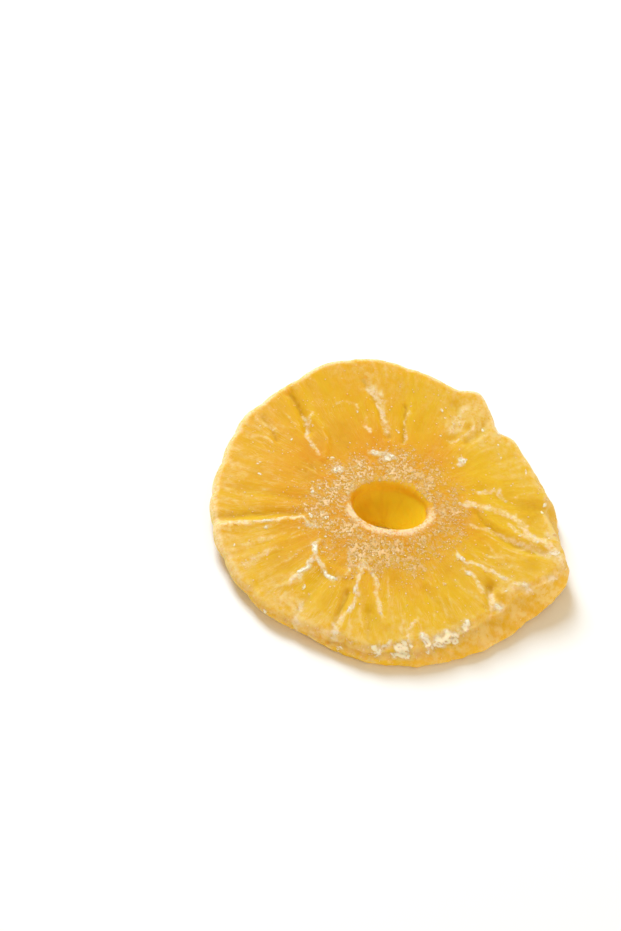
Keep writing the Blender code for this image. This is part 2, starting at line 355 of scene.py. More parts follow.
@dataclass(frozen=True)
class RingForm:
    """The smooth form of the slice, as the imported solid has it.

    The values are those of the solid, so both keep the same outline, thickness and curl.
    """

    edge_radius: float = 35.7 * MM
    hole_half: tuple[float, float] = (8.0 * MM, 5.8 * MM)
    hole_thickness: float = 8.5 * MM
    hole_foot_half: tuple[float, float] = (6.8 * MM, 3.4 * MM)
    hole_foot_forward: float = 2.9 * MM
    near_lip_radius: float = 0.7 * MM
    far_lip_radius: float = 1.9 * MM
    hole_foot_radius: float = 0.4 * MM
    off_centre: float = 2.3 * MM
    off_centre_towards: float = 177.0
    skew: float = 4.2 * MM
    skew_towards: float = -4.0
    side_bulge: float = 0.5 * MM
    shoulder_radius: float = 1.7 * MM
    foot_radius: float = 1.2 * MM
    foot_relief: float = 0.5
    lobes: tuple[Lobe, ...] = (
        Lobe(-8.0, 12.0, 5.5 * MM),
        Lobe(20.0, 6.0, 1.1 * MM),
        Lobe(53.5, 4.0, -1.4 * MM),
        Lobe(68.5, 5.7, 2.3 * MM),
        Lobe(117.0, 24.0, 2.9 * MM),
        Lobe(153.5, 12.6, 1.5 * MM),
        Lobe(255.5, 11.6, -1.3 * MM),
        Lobe(308.5, 25.0, -0.9 * MM),
    )
    fruitlets: int = 23
    fruitlet_rise: float = 0.35 * MM
    edge_thinning: float = 1.4 * MM
    uneven_thinning: float = 3.0 * MM
    thickest_towards: float = 43.0
    curls: tuple[Curl, ...] = (
        Curl(100.0, 11.0 * MM, 3.6 * MM),
        Curl(-8.0, 19.0 * MM, 0.7 * MM),
        Curl(205.0, 25.0 * MM, 0.5 * MM),
    )

    def scallop(self, angle: Array) -> Array:
        """Bulge of the single fruitlets, 0 in the cleft between two and 1 in the middle of one."""
        return np.abs(np.sin(0.5 * self.fruitlets * angle + 1.3 * np.sin(2.0 * angle)))

    def rim_distance(self, angle: Array, relief: float = 1.0) -> Array:
        """Distance from the hole to the cut side.

        Args:
            angle: Angles in radians.
            relief: Share of the lobes and scallops that is kept.

        Returns:
            The distances.
        """
        distance = self.edge_radius + self.off_centre * turned(angle, self.off_centre_towards)
        for lobe in self.lobes:
            bell = np.exp(-((away_from(angle, lobe.at) / lobe.spread) ** 2))
            distance = distance + relief * lobe.rise * bell
        return distance + relief * self.fruitlet_rise * (self.scallop(angle) - 0.6)

    def rim(self, angle: Array) -> Array:
        """Plan position of the cut side's upper rim."""
        return place(self.rim_distance(angle), angle)

    def side_foot(self, angle: Array) -> Array:
        """Plan position of the cut side's foot."""
        skew = self.skew * turned(angle, self.skew_towards)
        return place(self.rim_distance(angle, self.foot_relief) + skew, angle)

    def lip(self, angle: Array) -> Array:
        """Plan position of the hole's upper rim."""
        return np.array([self.hole_half[0] * np.cos(angle), self.hole_half[1] * np.sin(angle)])

    def hole_foot(self, angle: Array) -> Array:
        """Plan position of the hole's lower rim."""
        across = self.hole_foot_half[1] * np.sin(angle) - self.hole_foot_forward
        return np.array([self.hole_foot_half[0] * np.cos(angle), across])

    def lip_radius(self, angle: Array) -> Array:
        """Rounding of the hole's upper rim, small at the front and large at the back."""
        back = 0.5 + 0.5 * np.sin(angle)
        return self.near_lip_radius + (self.far_lip_radius - self.near_lip_radius) * back

    def base_height(self, plan: Array) -> Array:
        """Height of the underside above the table."""
        height = np.zeros(plan.shape[1:])
        for curl in self.curls:
            reach = np.tensordot(place(1.0, np.radians(curl.towards)), plan, 1)
            share = (reach - curl.starts) / (self.edge_radius - curl.starts)
            height += curl.rise * np.clip(share, 0.0, None) ** 2
        return height

    def face_height(self, plan: Array) -> Array:
        """Height of the upper face above the table."""
        distance, angle = np.hypot(plan[0], plan[1]), np.arctan2(plan[1], plan[0])
        thinning = self.edge_thinning - self.uneven_thinning * turned(angle, self.thickest_towards)
        height = self.base_height(plan) + self.hole_thickness
        height -= thinning * distance / self.edge_radius
        for crease in CREASES:
            away, _ = along_path(plan, crease.start, crease.end, crease.bend)
            height -= crease.depth * np.exp(-((away / crease.width) ** 2))
        return height

    def rounding(
        self, corner: Array, inner: Array, radius: Any, turns: Iterable[float], upper: bool
    ) -> list[Array]:
        """Rows of points round a corner of the section.

        Args:
            corner: Plan position of the corner.
            inner: Plan position that the corner's face runs to.
            radius: Radius of the rounding.
            turns: Turns in degrees, 0 where the face begins and 90 where the wall does.
            upper: Whether the corner is an upper one.

        Returns:
            One row of points for each turn.
        """
        inwards = (inner - corner) / np.hypot(*(inner - corner))
        rows = []
        for turn in np.radians(list(turns)):
            plan = corner + inwards * radius * (1.0 - np.sin(turn))
            drop = radius * (1.0 - np.cos(turn))
            height = self.face_height(plan) - drop if upper else self.base_height(plan) + drop
            rows.append(np.array([*plan, height]))
        return rows


@dataclass(frozen=True)
class Steps:
    """How finely the surface is divided, in sections and in rows of each zone."""

    sections: int = 630
    hole: int = 12
    lip: int = 8
    face: int = 98
    shoulder: int = 8
    side: int = 12
    foot: int = 5
    base: int = 10


def between(start: Array, end: Array, steps: int) -> list[Array]:
    """Rows of points on the straight way between two rows, without the two ends."""
    return [start + (end - start) * share for share in np.linspace(0.0, 1.0, steps + 2)[1:-1]]


def linear_colour(code: str) -> tuple[float, float, float, float]:
    """Turn an sRGB hex code such as #FFCC00 into a linear colour with full alpha."""
    parts = [int(code[i : i + 2], 16) / 255.0 for i in (1, 3, 5)]
    linear = [v / 12.92 if v <= 0.04045 else ((v + 0.055) / 1.055) ** 2.4 for v in parts]
    return (linear[0], linear[1], linear[2], 1.0)


def add_node(
    tree: bpy.types.NodeTree,
    kind: str,
    settings: dict[str, Any] | None = None,
    links: dict[Any, bpy.types.NodeSocket] | None = None,
    stops: Sequence[tuple[float, Any]] = (),
) -> bpy.types.Node:
    """Add a shader node with its settings and links.

    Args:
        tree: The material's node tree.
        kind: The node's type, such as ShaderNodeTexNoise.
        settings: Values by name of a property of the node, or of one of its inputs.
        links: Output sockets by name or number of the input that each goes into.
        stops: Positions and colours of a colour ramp.

    Returns:
        The new node.
    """
    node = tree.nodes.new(kind)
    for name, value in (settings or {}).items():
        if isinstance(name, str) and hasattr(node, name):
            setattr(node, name, value)
        else:
            node.inputs[name].default_value = value
    for name, socket in (links or {}).items():
        tree.links.new(socket, node.inputs[name])
    if stops:
        elements = node.color_ramp.elements
        while len(elements) < len(stops):
            elements.new(1.0)
        for element, (position, colour) in zip(elements, stops):
            element.position, element.color = position, colour
    return node


def new_material(name: str) -> tuple[bpy.types.Material, bpy.types.NodeTree, bpy.types.Node]:
    """Make a material and return it with its node tree and its Principled BSDF."""
    material = bpy.data.materials.new(name)
    material.use_nodes = True
    tree = material.node_tree
    return material, tree, tree.nodes["Principled BSDF"]


@dataclass(frozen=True)
class CandiedFlesh:
    """Candied pineapple: soft fibrous fruit, cut, soaked in syrup and dried to a firm jelly.

    Syrup fills the cells, so light goes in and comes out warm. The flesh is orange towards the
    core and lemon towards the rim. Where it has dried it is pale as straw, and fine sugar dust on
    it looks like peach-coloured frost.
    """

    # Painted glow: a bright yellow on the wall of the hole, standing in for light shining through the flesh.
    glow: str = "#FFD42A"
    orange: str = "#DE9814"
    lemon: str = "#E2B31E"
    deep: str = "#CE960A"
    straw: str = "#E8C676"
    thread: str = "#EDCB80"
    frost: str = "#E6B568"
    cream: str = "#F2D8AA"
    ior: float = 1.42
    speckle_size: float = 0.6 * MM
    mottle_size: float = 1.3 * MM
    pore_size: float = 0.25 * MM
    pore_depth: float = 0.08 * MM
    thread_size: float = 0.55 * MM
    thread_at: float = 28.0 * MM
    thread_length: float = 6.0 * MM
    thread_rise: float = 0.12 * MM
    speck: str = "#F0CC8A"
    speck_gap: float = 1.6 * MM
    speck_size: float = 0.22 * MM
    glow_depth: float = 2.6 * MM

    def build(self, middle: Sequence[float]) -> bpy.types.Material:
        """Make the flesh's material, which reads the painted fields.

        Args:
            middle: Middle of the hole at the table, which the fibres run out from.

        Returns:
            The material.
        """
        material, tree, surface = new_material("candied_pineapple_flesh")
        where = add_node(tree, "ShaderNodeTexCoord").outputs["Object"]
        thread, strand = self._threads(tree, where, middle)
        fields = {
            name: add_node(tree, "ShaderNodeAttribute", {"attribute_name": name}).outputs["Fac"]
            for name in ("orange", "clear", "deep", "pale", "dust", "crust", "fibrous")
        }
        speckle, mottle, pore = (
            add_node(
                tree,
                "ShaderNodeTexNoise",
                {"Scale": 1.0 / size, "Detail": 4.0, "Roughness": 0.65},
                {"Vector": where},
            ).outputs["Fac"]
            for size in (self.speckle_size, self.mottle_size, self.pore_size)
        )
        colour = add_node(
            tree,
            "ShaderNodeMix",
            {"data_type": "RGBA", 6: linear_colour(self.lemon), 7: linear_colour(self.orange)},
            {0: fields["orange"]},
        ).outputs[2]
        # Painted glow on the wall of the hole and its far lip.
        colour = self._cover(tree, colour, self.glow, fields["clear"], mottle, 0.1, (0.0, 1.0))
        # Deep colour: the moist pools' own, and painted shade along the grooves of the creases.
        colour = self._cover(tree, colour, self.deep, fields["deep"], mottle, 0.8, (0.0, 1.0))
        # Straw: dried flesh, and also painted light on the cut side; less of it is painted shade at the back
        # left.
        colour = self._cover(tree, colour, self.straw, fields["pale"], mottle, 2.2, (0.0, 1.0))
        lined = add_node(
            tree, "ShaderNodeMath", {"operation": "MULTIPLY"}, {0: thread, 1: fields["fibrous"]}
        ).outputs["Value"]
        colour = add_node(
            tree, "ShaderNodeMix", {"data_type": "RGBA", 7: linear_colour(self.thread)}, {0: lined, 6: colour}
        ).outputs[2]
        colour = self._cover(tree, colour, self.frost, fields["dust"], speckle, 2.6, (0.2, 1.25))
        colour = self._cover(tree, colour, self.cream, fields["crust"], speckle, 1.6, (0.15, 1.0))
        colour = add_node(
            tree,
            "ShaderNodeMix",
            {"data_type": "RGBA", 7: linear_colour(self.speck)},
            {0: self._specks(tree, where, mottle, fields["clear"]), 6: colour},
        ).outputs[2]
        tree.links.new(colour, surface.inputs["Base Color"])

        rough = add_node(
            tree,
            "ShaderNodeMapRange",
            {"From Min": 0.0, "From Max": 0.7, "To Min": 0.5, "To Max": 0.68},
            {"Value": fields["dust"]},
        ).outputs["Result"]
        tree.links.new(rough, surface.inputs["Roughness"])
        pores = add_node(
            tree,
            "ShaderNodeBump",
            {"Strength": 0.6, "Distance": self.pore_depth},
            {"Height": pore},
        ).outputs["Normal"]
        bump = add_node(
            tree,
            "ShaderNodeBump",
            {"Strength": 0.6, "Distance": self.thread_rise},
            {"Height": strand, "Normal": pores},
        ).outputs["Normal"]
        tree.links.new(bump, surface.inputs["Normal"])
        surface.inputs["IOR"].default_value = self.ior
        surface.inputs["Specular IOR Level"].default_value = 0.14
        surface.inputs["Subsurface Weight"].default_value = 0.6
        surface.inputs["Subsurface Radius"].default_value = (1.0, 0.6, 0.15)
        surface.inputs["Subsurface Scale"].default_value = self.glow_depth
        return material

    def _threads(
        self, tree: bpy.types.NodeTree, where: bpy.types.NodeSocket, middle: Sequence[float]
    ) -> tuple[bpy.types.NodeSocket, bpy.types.NodeSocket]:
        """Draw the fruit's fibres, which spread from the hole to the rim.

        Args:
            tree: The material's node tree.
            where: Socket of the place on the piece.
            middle: Middle of the hole.

        Returns:
            Socket of thin pale threads, 1 on a thread, and socket of the soft strands' height.
        """
        offset = add_node(
            tree, "ShaderNodeVectorMath", {"operation": "SUBTRACT", 1: tuple(middle)}, {0: where}
        ).outputs["Vector"]
        flat = add_node(
            tree, "ShaderNodeVectorMath", {"operation": "MULTIPLY", 1: (1.0, 1.0, 0.0)}, {0: offset}
        ).outputs["Vector"]
        outward = add_node(tree, "ShaderNodeVectorMath", {"operation": "NORMALIZE"}, {0: flat})
        spread = add_node(
            tree,
            "ShaderNodeVectorMath",
            {"operation": "SCALE", "Scale": self.thread_at / self.thread_size},
            {0: outward.outputs["Vector"]},
        ).outputs["Vector"]
        far = add_node(tree, "ShaderNodeVectorMath", {"operation": "LENGTH"}, {0: flat}).outputs["Value"]
        along = add_node(
            tree, "ShaderNodeMath", {"operation": "MULTIPLY", 1: 1.0 / self.thread_length}, {0: far}
        ).outputs["Value"]
        lift = add_node(tree, "ShaderNodeCombineXYZ", {}, {"Z": along}).outputs["Vector"]
        at = add_node(tree, "ShaderNodeVectorMath", {"operation": "ADD"}, {0: spread, 1: lift})
        strand = add_node(
            tree,
            "ShaderNodeTexNoise",
            {"Scale": 1.0, "Detail": 3.0, "Roughness": 0.6, "Distortion": 0.5},
            {"Vector": at.outputs["Vector"]},
        ).outputs["Fac"]
        signed = add_node(tree, "ShaderNodeMath", {"operation": "SUBTRACT", 1: 0.5}, {0: strand})
        away = add_node(tree, "ShaderNodeMath", {"operation": "ABSOLUTE"}, {0: signed.outputs["Value"]})
        thread = add_node(
            tree,
            "ShaderNodeMapRange",
            {"interpolation_type": "SMOOTHSTEP", "From Min": 0.04, "From Max": 0.0},
            {"Value": away.outputs["Value"]},
        ).outputs["Result"]
        return thread, strand

    def _specks(
        self,
        tree: bpy.types.NodeTree,
        where: bpy.types.NodeSocket,
        mottle: bpy.types.NodeSocket,
        clear: bpy.types.NodeSocket,
    ) -> bpy.types.NodeSocket:
        """Scatter specks of sugar that are too small to be pieces, in loose drifts.

        Args:
            tree: The material's node tree.
            where: Socket of the place on the piece.
            mottle: Socket of a noise that gathers the specks into drifts.
            clear: Socket of the painted glow on the wall of the hole, where no sugar lies.

        Returns:
            Socket that is 1 in the middle of a speck and 0 away from one.
        """
        reach = self.speck_size / self.speck_gap
        cell = add_node(
            tree, "ShaderNodeTexVoronoi", {"Scale": 1.0 / self.speck_gap, "Randomness": 1.0}, {"Vector": where}
        )
        dot = add_node(
            tree,
            "ShaderNodeMapRange",
            {"interpolation_type": "SMOOTHSTEP", "From Min": 1.4 * reach, "From Max": 0.3 * reach},
            {"Value": cell.outputs["Distance"]},
        ).outputs["Result"]
        drift = add_node(
            tree, "ShaderNodeMapRange", {"From Min": 0.4, "From Max": 0.62, "To Max": 0.85}, {"Value": mottle}
        ).outputs["Result"]
        bare = add_node(tree, "ShaderNodeMath", {"operation": "SUBTRACT", 0: 1.0}, {1: clear}).outputs["Value"]
        seen = add_node(tree, "ShaderNodeMath", {"operation": "MULTIPLY"}, {0: dot, 1: drift}).outputs["Value"]
        return add_node(tree, "ShaderNodeMath", {"operation": "MULTIPLY"}, {0: seen, 1: bare}).outputs["Value"]

    def _cover(
        self,
        tree: bpy.types.NodeTree,
        under: bpy.types.NodeSocket,
        code: str,
        value: bpy.types.NodeSocket,
        noise: bpy.types.NodeSocket,
        amount: float,
        span: tuple[float, float],
    ) -> bpy.types.NodeSocket:
        """Cover a colour with another where a field is high, broken up by a noise.

        Args:
            tree: The material's node tree.
            under: Socket of the colour underneath.
            code: Hex code of the colour on top.
            value: Socket of the field.
            noise: Socket of a noise between 0 and 1, which breaks the cover up.
            amount: How far the noise moves the field, as a share of it, to both sides.
            span: Moved field where the cover begins, and where it is whole.

        Returns:
            Socket of the mixed colour.
        """
        moved = add_node(
            tree, "ShaderNodeMath", {"operation": "MULTIPLY_ADD", 1: 2.0 * amount, 2: 1.0 - amount}, {0: noise}
        ).outputs["Value"]
        share = add_node(
            tree, "ShaderNodeMath", {"operation": "MULTIPLY"}, {0: moved, 1: value}
        ).outputs["Value"]
        weighed = add_node(
            tree,
            "ShaderNodeMapRange",
            {"interpolation_type": "SMOOTHSTEP", "From Min": span[0], "From Max": span[1]},
            {"Value": share},
        ).outputs["Result"]
        return add_node(
            tree,
            "ShaderNodeMix",
            {"data_type": "RGBA", 7: linear_colour(code)},
            {0: weighed, 6: under},
        ).outputs[2]


@dataclass(frozen=True)
class Sugar:
    """Sugar: transparent crystals that scatter light between them, so a crust of them is cream white.

    Where it lies thin on the fruit it takes the syrup's warm colour, and where it is thick, as the
    painted field "white" has it, it is the paler one.
    """

    name: str
    thin: str
    thick: str
    roughness: float = 0.45
    ior: float = 1.54
    glow_depth: float = 0.8 * MM

    def build(self) -> bpy.types.Material:
        """Make the sugar's material."""
        material, tree, surface = new_material(self.name)
        white = add_node(tree, "ShaderNodeAttribute", {"attribute_name": "white"}).outputs["Fac"]
        mixed = add_node(
            tree,
            "ShaderNodeMix",
            {"data_type": "RGBA", 6: linear_colour(self.thin), 7: linear_colour(self.thick)},
            {0: white},
        ).outputs[2]
        tree.links.new(mixed, surface.inputs["Base Color"])
        surface.inputs["Roughness"].default_value = self.roughness
        surface.inputs["IOR"].default_value = self.ior
        surface.inputs["Subsurface Weight"].default_value = 0.5
        surface.inputs["Subsurface Radius"].default_value = (1.0, 0.75, 0.4)
        surface.inputs["Subsurface Scale"].default_value = self.glow_depth
        return material


def new_piece(
    name: str, points: Array, faces: Array, material: bpy.types.Material
) -> bpy.types.Object:
    """Make a mesh piece that rides on the ring's body.

    Args:
        name: Name of the piece.
        points: Its points, one row for each.
        faces: Point numbers of its faces, one row for each.
        material: Its material.

    Returns:
        The piece's object.
    """
    mesh = bpy.data.meshes.new(name)
    mesh.from_pydata(points.tolist(), [], faces.tolist())
    mesh.materials.append(material)
    piece = bpy.data.objects.new(name, mesh)
    bpy.context.scene.collection.objects.link(piece)
    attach(piece, BODY)
    log.info("%s: %d points, %d faces", name, len(points), len(faces))
    return piece


def paint(mesh: bpy.types.Mesh, name: str, values: Array) -> None:
    """Give a mesh a painted field with one value for each point."""
    layer = mesh.attributes.new(name, "FLOAT", "POINT")
    layer.data.foreach_set("value", values.ravel().astype(np.float32))


class Surface:
    """The flesh's surface at one fineness: its points, its outward directions and its fields.

    Every field is a formula of the place on the slice, so surfaces of different fineness agree.
    """

    membranes = 80
    specks = 80
    fibre_rise = 0.04 * MM
    wrinkle_rise = 0.035 * MM
    lump_rise = 0.12 * MM
    cleft_depth = 0.12 * MM
    vein_rise = 0.10 * MM
    heel_rise = 0.42 * MM

    def __init__(self, form: RingForm, steps: Steps) -> None:
        """Work out the smooth grid, the fields and the relief.

        Args:
            form: The slice's smooth form.
            steps: How finely it is divided.
        """
        self.form, self.steps = form, steps
        self.angle = np.linspace(0.0, 2.0 * np.pi, steps.sections, endpoint=False)
        self.smooth, self.zones = self._smooth_grid()
        low, high = (np.array(corner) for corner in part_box(NODE))
        middle = (self.smooth.min((0, 1)) + self.smooth.max((0, 1))) / 2.0
        self.hole = np.array([*((low + high) / 2.0 - middle)[:2], low[2]])
        self.plan = self.smooth[..., :2].transpose(2, 0, 1)
        self.distance = np.hypot(*self.plan)
        self.turn = np.arctan2(self.plan[1], self.plan[0])
        self.share = self.distance / form.rim_distance(self.turn)
        self.inner = np.hypot(*(self.plan - form.lip(self.angle)[:, :, None]))
        self.drop = form.face_height(self.plan) - self.smooth[..., 2]
        self.upper = self.weight(Zone.FACE, Zone.LIP, Zone.SHOULDER)
        self.outer = self.weight(Zone.SIDE, Zone.FOOT)
        self.warped = self._warped()
        self.pool = self._pool_field()
        self.vein, self.crust = self._vein_fields()
        self.rim, self.lip, self.edge = self._edge_fields()
        self.dust = self._dust_field()
        self.orange, self.deep, self.pale = self._colour_fields()
        # Painted glow on the hole's wall and far lip, for light shining through the flesh.
        far_lip = self.weight(Zone.LIP) * ramp(turned(self.turn, 90.0), -0.2, 0.6)
        clear = self.weight(Zone.HOLE) * (1.0 - 0.35 * self._streaks())
        patchy = 0.15 + 0.85 * ramp(self.noise(46, 3.0 * MM) + 0.6 * self.noise(47, 1.2 * MM), -0.5, 0.9)
        within = ramp(self.share, 0.35, 0.55) * (0.4 + 0.6 * ramp(turned(self.turn, 235.0), -0.5, 0.7))
        self.fibrous = patchy * (0.55 * self.upper * within * (1.0 - self.deep) + 0.2 * self.outer)
        self.clear = np.clip(clear + 0.5 * far_lip, 0.0, 1.0)
        self.normal = self._normals()
        self.points = above_table(self.smooth + self.normal * self._relief()[..., None] + self.hole)

    def _smooth_grid(self) -> tuple[Array, list[Zone]]:
        """The smooth form's points by section and row, and the zone of each row."""
        form, steps, angle = self.form, self.steps, self.angle
        lip, rim = form.lip(angle), form.rim(angle)
        hole_foot, side_foot = form.hole_foot(angle), form.side_foot(angle)
        back = np.linspace(90.0, 0.0, steps.lip)
        upper = form.rounding(lip, rim, form.lip_radius(angle), back, True)
        out = np.linspace(0.0, 90.0, steps.shoulder)
        shoulder = form.rounding(rim, lip, form.shoulder_radius, out, True)
        down = np.linspace(90.0, 0.0, steps.foot)
        foot = form.rounding(side_foot, hole_foot, form.foot_radius, down, False)
        heel = form.rounding(hole_foot, side_foot, form.hole_foot_radius, (0.0, 45.0, 90.0), False)
        face = []
        for x, y, _ in between(upper[-1], shoulder[0], steps.face):
            face.append(np.array([x, y, form.face_height(np.array([x, y]))]))
        side = []
        for number, row in enumerate(between(shoulder[-1], foot[0], steps.side), 1):
            bulge = form.side_bulge * np.sin(np.pi * number / (steps.side + 1))
            side.append(row + np.array([*place(bulge, angle), 0.0 * angle]))
        base = []
        for x, y, _ in between(foot[-1], heel[0], steps.base):
            base.append(np.array([x, y, form.base_height(np.array([x, y]))]))
        parts = (
            (Zone.HOLE, [heel[2], *between(heel[2], upper[0], steps.hole)]),
            (Zone.LIP, upper),
            (Zone.FACE, face),
            (Zone.SHOULDER, shoulder),
            (Zone.SIDE, side),
            (Zone.FOOT, foot),
            (Zone.BASE, [*base, heel[0], heel[1]]),
        )
        rows = [row for _, part in parts for row in part]
        return np.array(rows).transpose(2, 0, 1), [zone for zone, part in parts for _ in part]

    def rows(self, *zones: Zone) -> Array:
        """Numbers of the rows that belong to the zones named."""
        return np.flatnonzero([zone in zones for zone in self.zones])

    def weight(self, *zones: Zone) -> Array:
        """1 on the rows of the zones named and 0 elsewhere, softened over the rows beside them."""
        weight = np.array([float(zone in zones) for zone in self.zones])
        for _ in range(3):
            weight = (np.roll(weight, 1) + 2.0 * weight + np.roll(weight, -1)) / 4.0
        return weight[None, :]

    def _normals(self) -> Array:
        """Outward unit normals of the smooth grid."""
        round_way = np.roll(self.smooth, -1, 0) - np.roll(self.smooth, 1, 0)
        out_way = np.roll(self.smooth, -1, 1) - np.roll(self.smooth, 1, 1)
        normal = np.cross(out_way, round_way)
        return normal / np.linalg.norm(normal, axis=-1, keepdims=True)

    def noise(self, seed: int, size: float) -> Array:
        """Random field between -1 and 1, with cells of one size over the face and down the walls."""
        down = 0.7 * self.smooth[..., 2]
        return Lattice(seed).at((self.plan[0] + down) / size, (self.plan[1] + down) / size)

    def fibres(self, seed: int, width: float, length: float) -> Array:
        """Random field drawn out along the fibres, which run from the hole to the rim.

        The number of fibres grows outwards in four steps, so that they keep their width.

        Args:
            seed: Seed of the field.
            width: Width of a fibre.
            length: Length over which a fibre comes and goes.

        Returns:
            Values between -1 and 1.
        """
        turns = (self.turn / (2.0 * np.pi)) % 1.0 + 0.012 * self.noise(seed + 1, 8.0 * MM)
        total, weights = 0.0, 0.0
        for number, ring in enumerate((12.0 * MM, 19.0 * MM, 26.0 * MM, 34.0 * MM)):
            strands = int(2.0 * np.pi * ring / width)
            weight = np.exp(-(((self.distance - ring) / (4.5 * MM)) ** 2)) + 1e-6
            lattice = Lattice(seed + 7 * number, strands, 32)
            total = total + weight * lattice.at(turns * strands, self.distance / length)
            weights = weights + weight
        return total / weights

    def _warped(self) -> Array:
        """Plan positions pushed about a little, so that lines drawn there wander."""
        coarse = [0.40 * MM * self.noise(seed, 3.6 * MM) for seed in (11, 12)]
        fine = [0.28 * MM * self.noise(seed, 0.9 * MM) for seed in (13, 14)]
        return self.plan + np.array(coarse) + np.array(fine)

    def _vein_fields(self) -> tuple[Array, Array]:
        """How pale the veins make each place, and how thick sugar has crusted there.

        A vein is frayed: three thin strands wander to its sides, and its sugar lies on them.
        """
        clumps = 0.5 + 0.5 * self.noise(21, 1.7 * MM)
        fine = 0.5 + 0.5 * self.noise(22, 0.7 * MM)
        pale = np.zeros(self.distance.shape)
        crust = np.zeros(self.distance.shape)
        for number in range(3):
            sideways = [self.noise(200 + 2 * number + axis, 1.5 * MM) for axis in (0, 1)]
            frayed = self.warped + 0.45 * MM * np.array(sideways)
            for vein in VEINS:
                away = np.full(self.distance.shape, 1.0)
                for start, end in zip(vein.places, vein.places[1:]):
                    away = np.minimum(away, along_path(frayed, start, end)[0])
                line = np.exp(-((away / (1.15 * vein.width)) ** 2))
                pale = np.maximum(pale, vein.strength * line * (0.45 + 0.35 * fine + 0.2 * clumps))
                strand = np.exp(-((away / (0.5 * vein.width)) ** 2))
                crust = np.maximum(crust, vein.crust * strand * ramp(clumps + fine, 0.55, 1.35))
        rng = np.random.default_rng(7)
        for _ in range(self.membranes):
            at, far = rng.uniform(135.0, 380.0), rng.uniform(24.0, 36.0)
            near, turn = far - rng.uniform(4.0, 11.0), rng.normal(0.0, 4.0)
            bend, strength = rng.normal(0.0, 0.6) * MM, rng.uniform(0.2, 0.65)
            away, share = along_path(self.warped, (near, at), (far, at + turn), bend)
            fade = np.sin(np.pi * np.clip(share, 0.04, 0.96))
            line = strength * fade * np.exp(-((away / (0.32 * MM)) ** 2))
            pale = np.maximum(pale, line * (0.6 + 0.4 * clumps))
        for patch in PATCHES:
            crust = np.maximum(crust, self._patch(patch))
        for _ in range(self.specks):
            centre = place(rng.uniform(12.0, 34.0) * MM, rng.uniform(0.0, 2.0 * np.pi))
            away = np.hypot(*(self.warped - centre[:, None, None]))
            dot = np.exp(-((away / (rng.uniform(0.20, 0.40) * MM)) ** 4))
            crust = np.maximum(crust, rng.uniform(0.4, 0.9) * dot)
        down = self.drop / MM + 0.5 * self.noise(28, 1.2 * MM)
        draped = self.upper + self.outer * (1.0 - ramp(down, 2.2, 3.4))
        return pale * self.upper, crust * draped

    def _patch(self, patch: Patch) -> Array:
        """Field of one white patch: its strength inside, and 0 beyond its ragged edge."""
        centre = place(patch.distance * MM, np.radians(patch.angle))
        offset = self.warped - centre[:, None, None]
        along = np.tensordot(place(1.0, np.radians(patch.angle + patch.heading)), offset, 1)
        across = np.tensordot(place(1.0, np.radians(patch.angle + patch.heading + 90.0)), offset, 1)
        reach = np.hypot(along / (0.5 * patch.length), across / (0.5 * patch.breadth)) / MM
        ragged = reach + 0.35 * self.noise(23, 0.6 * MM) + 0.25 * self.noise(24, 1.3 * MM)
        return patch.strength * (1.0 - ramp(ragged, 0.75, 1.1))

    def _edge_fields(self) -> tuple[Array, Array, Array]:
        """The dried edges, which are pale.

        Returns:
            The line round the rim, most at the back and left; the line on the near lip of the hole;
            and the rough band between face and cut side, most at the front and right.
        """
        clumps = 0.5 + 0.5 * self.noise(25, 2.2 * MM)
        inwards = (self.share - 1.0) * self.form.rim_distance(self.turn) / MM
        behind = 0.35 + 0.65 * ramp(turned(self.turn, 130.0), -0.5, 0.4)
        rim = ramp(inwards, -2.0, -0.9) * behind
        lip = np.exp(-(((self.inner / MM - 1.0) / 1.1) ** 2)) * ramp(turned(self.turn, -80.0), -0.45, 0.3)
        broken = 0.55 + 0.45 * clumps
        ragged = 0.9 * self.noise(26, 2.6 * MM) + 0.6 * self.noise(27, 1.0 * MM)
        band = ramp(inwards, -2.6, -1.0) * (1.0 - ramp(self.drop / MM, 2.2, 3.6))
        band = band * ramp(turned(self.turn, -50.0), -0.4, 0.4) * (self.upper + self.outer)
        over = self.outer * (1.0 - ramp(self.drop / MM, 1.6, 3.2)) * behind
        rim = np.maximum(rim * self.upper, over) * broken
        return rim, lip * broken * self.upper, band * np.clip(0.6 + 0.6 * ragged, 0.0, 1.0)

    def _pool_field(self) -> Array:
        """Where the flesh is moist and clear."""
        pool = np.zeros(self.distance.shape)
        for spot in POOLS:
            centre = place(spot.distance * MM, np.radians(spot.angle))[:, None, None]
            away = np.hypot(*(self.warped - centre)) / spot.radius
            pool = np.maximum(pool, spot.strength * np.exp(-(away**3)))
        return pool

    def _dust_field(self) -> Array:
        """Sugar dust: a frosted ring round the hole, and traces of it all over."""
        clouds = 0.5 + 0.5 * self.noise(31, 3.1 * MM)
        grain = 0.5 + 0.5 * self.noise(32, 1.1 * MM)
        ahead = 17.0 + 3.5 * ramp(turned(self.turn, -110.0), -0.8, 0.9)
        reach = self.distance / (ahead * MM)
        near = (1.0 - ramp(reach, 0.6, 1.45)) * (0.30 + 0.30 * clouds + 0.30 * grain)
        far_side = ramp(turned(self.turn, 90.0), -0.6, 0.3)
        near = near * ramp(self.inner / MM, 0.1 + 0.3 * far_side, 0.4 + 0.6 * far_side)
        near = near * (1.0 - 0.7 * self.lip)
        traces = 0.05 + 0.25 * ramp(clouds * grain, 0.2, 0.65)
        upper = self.upper * np.maximum(near, traces + 0.2 * self.edge) * (1.0 - 0.8 * self.pool)
        outer = self.outer * (0.08 + 0.3 * ramp(clouds * grain, 0.15, 0.6) + 0.3 * self.edge)
        base = self.weight(Zone.BASE) * (0.1 + 0.3 * clouds * grain)
        return np.clip(upper + outer + base, 0.0, 1.0)

